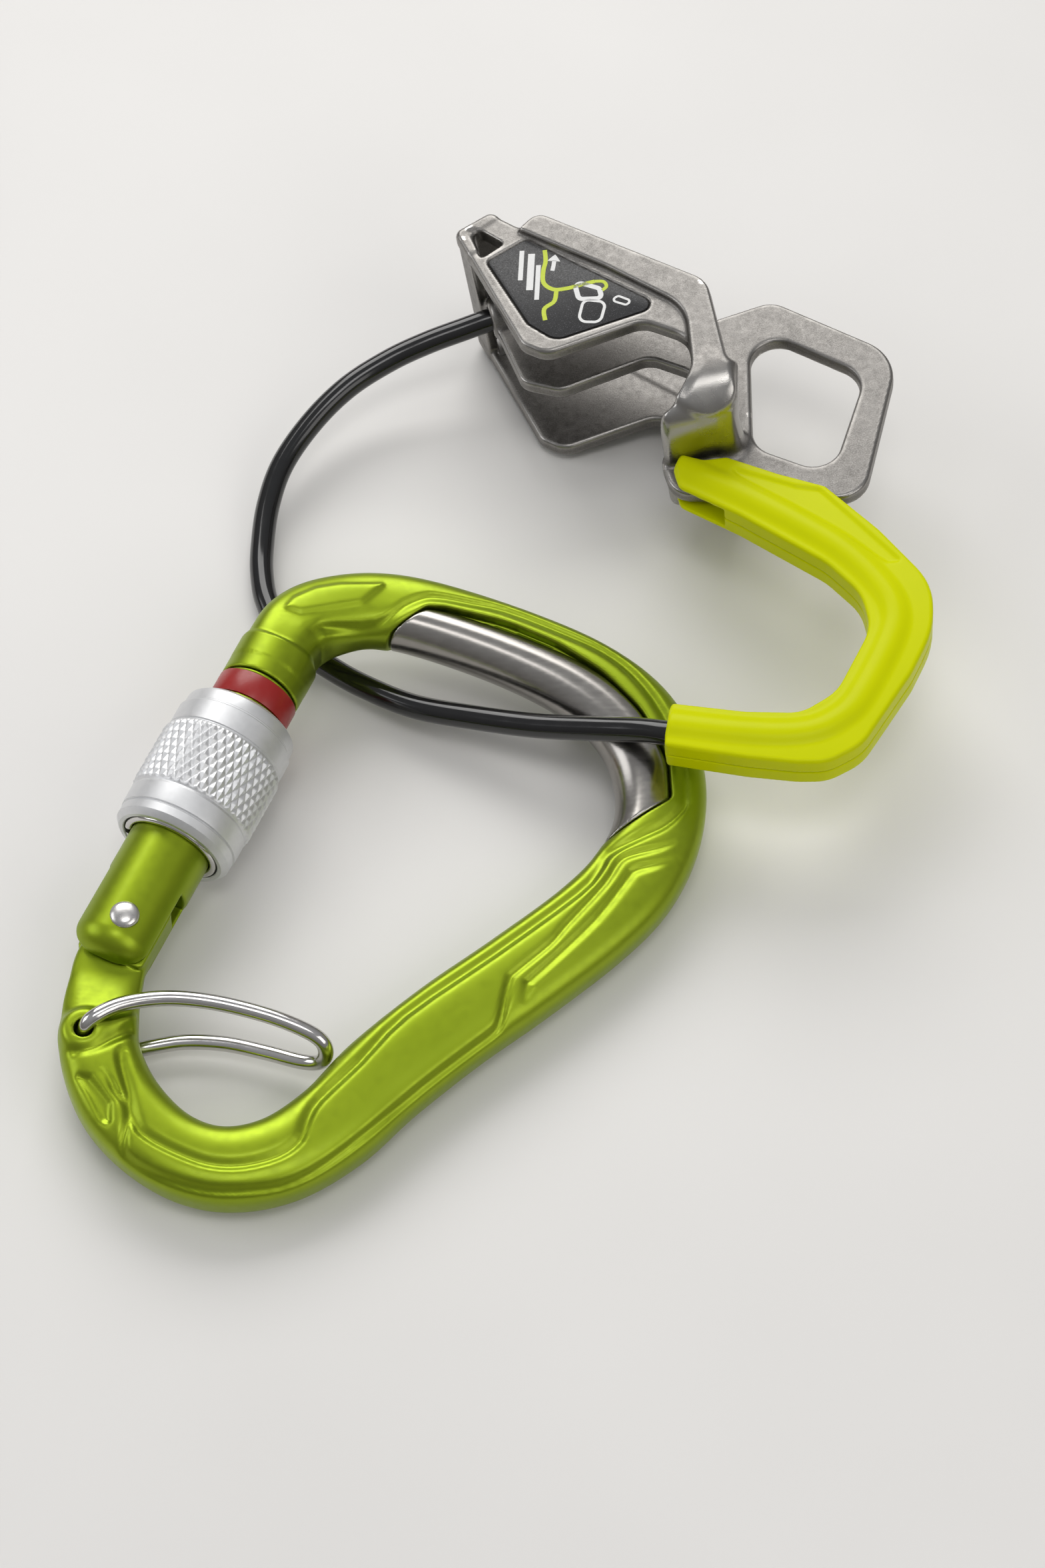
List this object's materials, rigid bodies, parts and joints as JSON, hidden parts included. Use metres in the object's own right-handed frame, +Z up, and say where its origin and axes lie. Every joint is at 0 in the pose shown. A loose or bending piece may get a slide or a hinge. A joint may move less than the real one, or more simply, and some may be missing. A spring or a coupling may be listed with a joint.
{
  "type": "rope descender",
  "caption": "Tube descender with two rope slots, hinged lever handle and cable keeper, captive on an offset screw-lock carabiner with a steel-lined basket.",
  "frame": {"origin": "centre of the plan outline, on the surface the object lies on", "axes": "+Z up, away from the surface; +Y along the object's length, from the carabiner's small end towards the descender; +X to the right seen from above"},
  "size_m": [0.1356, 0.1736, 0.036],
  "materials": {
    "cast_steel": "satin",
    "label": "satin",
    "cable_jacket": "gloss",
    "steel": "polished",
    "handle": "satin",
    "anodised_green": "satin",
    "sleeve": "matte",
    "insert": "satin",
    "red_band": "satin"
  },
  "bodies": {
    "descender": {"descender_frame": "cast_steel", "label_upper": "label", "label_lower": "label", "body_ferrule": "steel", "cable_jacket": "cable_jacket", "cable_core": "steel"},
    "handle": {"handle_upper_shell": "handle", "handle_lower_shell": "handle", "handle_pivot_pin": "steel", "handle_ferrule": "steel"},
    "carabiner": {"carabiner_frame": "anodised_green", "basket_insert": "insert", "gate_rivet": "steel"},
    "gate": {"gate_barrel": "anodised_green", "lock_indicator": "red_band", "gate_spring": "steel"},
    "pushrod": {"gate_pushrod": "steel"},
    "ring": {"sleeve_ring": "steel"},
    "sleeve": {"locking_sleeve": "sleeve"},
    "wire": {"wire_bar": "steel"}
  },
  "joints": [
    {"name": "handle_pivot", "type": "hinge", "parent": "descender", "child": "handle", "pos_m": [0.03215, 0.0375, 0.01774], "axis": [-0.0904, 0.0006, 0.9959], "range_deg": [-5, 3], "stiffness_Nm_per_rad": 0.6, "deforming": ["cable_jacket", "cable_core"]},
    {"name": "carabiner_swing", "type": "hinge", "parent": "descender", "child": "carabiner", "pos_m": [-0.03315, 0.0149, 0.01291], "axis": [0, 0, 1], "range_deg": [-1, 12], "deforming": ["cable_jacket", "cable_core"]},
    {"name": "gate_swing", "type": "hinge", "parent": "carabiner", "child": "gate", "pos_m": [-0.05828, -0.04279, 0.00967], "axis": [-0.0638, 0.0836, -0.9944], "range_deg": [0, 28], "stiffness_Nm_per_rad": 0.04, "springref_deg": -20.05},
    {"name": "pushrod_slide", "type": "slide", "parent": "gate", "child": "pushrod", "axis": [0.4089, 0.9112, 0.0504], "range_m": [0, 0.003], "deforming": ["gate_spring"]},
    {"name": "sleeve_travel", "type": "slide", "parent": "gate", "child": "ring", "axis": [0.4089, 0.9112, 0.0504], "range_m": [0, 0.0085]},
    {"name": "sleeve_turn", "type": "hinge", "parent": "ring", "child": "sleeve", "pos_m": [-0.04747, -0.01699, 0.01115], "axis": [0.4089, 0.9112, 0.0504], "range_deg": [0, 720]},
    {"name": "wire_swing", "type": "hinge", "parent": "carabiner", "child": "wire", "pos_m": [-0.06334, -0.06064, 0.0085], "axis": [0.0638, -0.0836, 0.9944], "range_deg": [0, 25], "stiffness_Nm_per_rad": 0.02, "springref_deg": -11.46}
  ],
  "couplings": [
    {"joint": "pushrod_slide", "follows": "gate_swing", "m_per_rad": 0.006},
    {"joint": "sleeve_travel", "follows": "sleeve_turn", "m_per_rad": 0.0006764}
  ]
}
